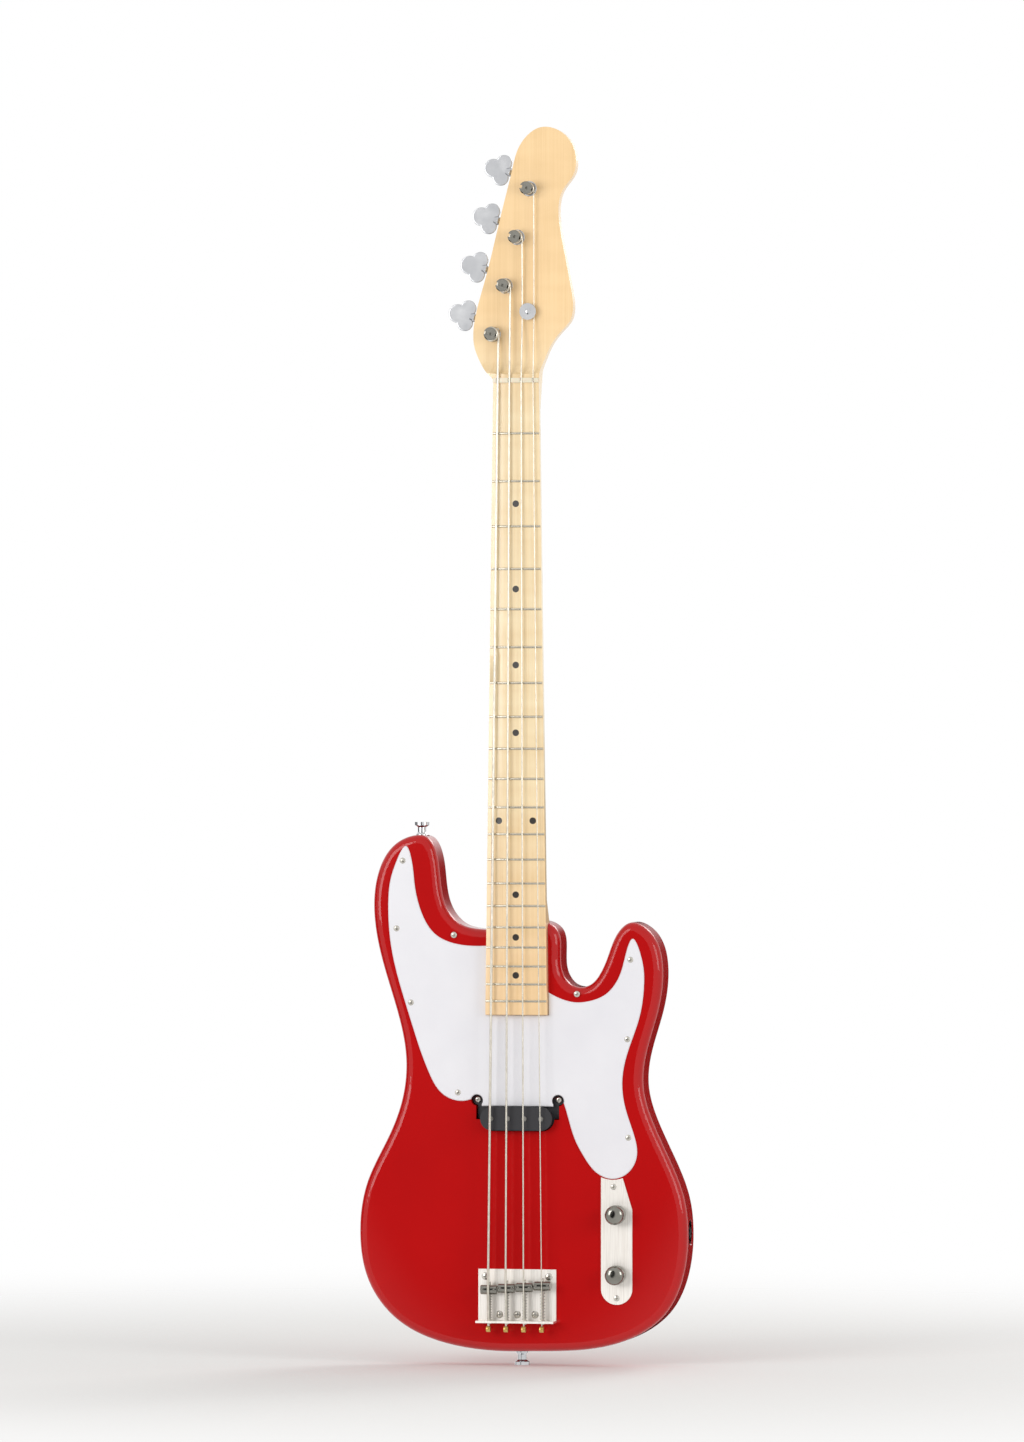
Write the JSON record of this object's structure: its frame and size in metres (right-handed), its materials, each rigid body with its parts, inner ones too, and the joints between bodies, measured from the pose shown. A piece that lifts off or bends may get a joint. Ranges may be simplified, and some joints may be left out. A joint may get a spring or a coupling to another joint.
{
  "type": "electric bass guitar",
  "caption": "Solid-body electric bass guitar with a bolt-on maple neck, worm-geared tuners that turn and control knobs that turn.",
  "frame": {"origin": "middle of the end strap button's rim, on the string centre line and at mid-thickness of the body", "axes": "+X to the treble side, +Y to the back of the body, +Z along the strings from the end button to the headstock"},
  "size_m": [0.32, 0.0679, 1.186],
  "materials": {
    "body_lacquer": "gloss lacquer",
    "maple": "gloss lacquer",
    "walnut": "satin",
    "steel": "plain",
    "nickel_silver": "polished",
    "black_inlay": "satin",
    "bone": "satin",
    "guard_white": "gloss",
    "black_fibre": "matte",
    "coil": "taped",
    "magnet": "ground",
    "tin": "tinned",
    "capacitor": "dipped",
    "lead": "cloth covered",
    "string_wire": "nickel wound",
    "shaft_brass": "turned",
    "gear_brass": "cut",
    "screw_steel": "nickel plated",
    "chrome": "polished"
  },
  "bodies": {
    "instrument": {"body": "body_lacquer", "neck": "maple", "rod_channel_strip": "walnut", "truss_rod": "steel", "truss_rod_nut": "steel", "intonation_springs": "steel", "frets": "nickel_silver", "position_dots": "black_inlay", "nut": "bone", "pickguard": "guard_white", "pickup_bobbin": "black_fibre", "pickup_coil": "coil", "pole_pieces": "magnet", "potentiometers": "tin", "tone_capacitor": "capacitor", "wiring": "lead", "string_e": "string_wire", "string_a": "string_wire", "string_d": "string_wire", "string_g": "string_wire", "plate_screws": "screw_steel", "pickup_screws": "screw_steel", "bridge_screws": "screw_steel", "saddle_height_screws": "screw_steel", "intonation_screws": "screw_steel", "tuner_screws": "screw_steel", "strap_button_screws": "screw_steel", "neck_bolts": "screw_steel", "neck_plate": "chrome", "control_plate": "chrome", "panel_nuts": "chrome", "jack_cup": "chrome", "jack_socket": "chrome", "bridge_plate": "chrome", "saddles": "chrome", "string_tree": "chrome", "tuner_plates": "chrome", "tuner_ferrules": "chrome", "strap_buttons": "chrome"},
    "post_e": {"tuner_post_e": "chrome", "tuner_gear_e": "gear_brass"},
    "key_e": {"tuner_worm_e": "chrome", "tuner_key_e": "chrome"},
    "post_a": {"tuner_post_a": "chrome", "tuner_gear_a": "gear_brass"},
    "key_a": {"tuner_worm_a": "chrome", "tuner_key_a": "chrome"},
    "post_d": {"tuner_post_d": "chrome", "tuner_gear_d": "gear_brass"},
    "key_d": {"tuner_worm_d": "chrome", "tuner_key_d": "chrome"},
    "post_g": {"tuner_post_g": "chrome", "tuner_gear_g": "gear_brass"},
    "key_g": {"tuner_worm_g": "chrome", "tuner_key_g": "chrome"},
    "volume": {"volume_shaft": "shaft_brass", "volume_knob": "chrome"},
    "tone": {"tone_shaft": "shaft_brass", "tone_knob": "chrome"}
  },
  "joints": [
    {"name": "tuner_key_e_turn", "type": "hinge", "parent": "instrument", "child": "key_e", "pos_m": [-0.0205, -0.00475, 0.99695], "axis": [-0.9699, 0, 0.2435], "continuous": true},
    {"name": "tuner_post_e_turn", "type": "hinge", "parent": "instrument", "child": "post_e", "pos_m": [-0.02323, -0.01065, 0.98608], "axis": [0, 1, 0], "continuous": true},
    {"name": "tuner_key_a_turn", "type": "hinge", "parent": "instrument", "child": "key_a", "pos_m": [-0.00885, -0.00475, 1.04335], "axis": [-0.9699, 0, 0.2435], "continuous": true},
    {"name": "tuner_post_a_turn", "type": "hinge", "parent": "instrument", "child": "post_a", "pos_m": [-0.01158, -0.01065, 1.03248], "axis": [0, 1, 0], "continuous": true},
    {"name": "tuner_key_d_turn", "type": "hinge", "parent": "instrument", "child": "key_d", "pos_m": [0.0028, -0.00475, 1.08975], "axis": [-0.9699, 0, 0.2435], "continuous": true},
    {"name": "tuner_post_d_turn", "type": "hinge", "parent": "instrument", "child": "post_d", "pos_m": [0.00007, -0.01065, 1.07888], "axis": [0, 1, 0], "continuous": true},
    {"name": "tuner_key_g_turn", "type": "hinge", "parent": "instrument", "child": "key_g", "pos_m": [0.01445, -0.00475, 1.13615], "axis": [-0.9699, 0, 0.2435], "continuous": true},
    {"name": "tuner_post_g_turn", "type": "hinge", "parent": "instrument", "child": "post_g", "pos_m": [0.01172, -0.01065, 1.12528], "axis": [0, 1, 0], "continuous": true},
    {"name": "volume_turn", "type": "hinge", "parent": "instrument", "child": "volume", "pos_m": [0.0966, -0.02225, 0.1444], "axis": [0, -1, 0], "range_deg": [-150, 150]},
    {"name": "tone_turn", "type": "hinge", "parent": "instrument", "child": "tone", "pos_m": [0.0966, -0.02225, 0.0869], "axis": [0, -1, 0], "range_deg": [-150, 150]}
  ],
  "couplings": [
    {"joint": "tuner_post_e_turn", "follows": "tuner_key_e_turn", "ratio": 0.05},
    {"joint": "tuner_post_a_turn", "follows": "tuner_key_a_turn", "ratio": 0.05},
    {"joint": "tuner_post_d_turn", "follows": "tuner_key_d_turn", "ratio": 0.05},
    {"joint": "tuner_post_g_turn", "follows": "tuner_key_g_turn", "ratio": 0.05}
  ]
}
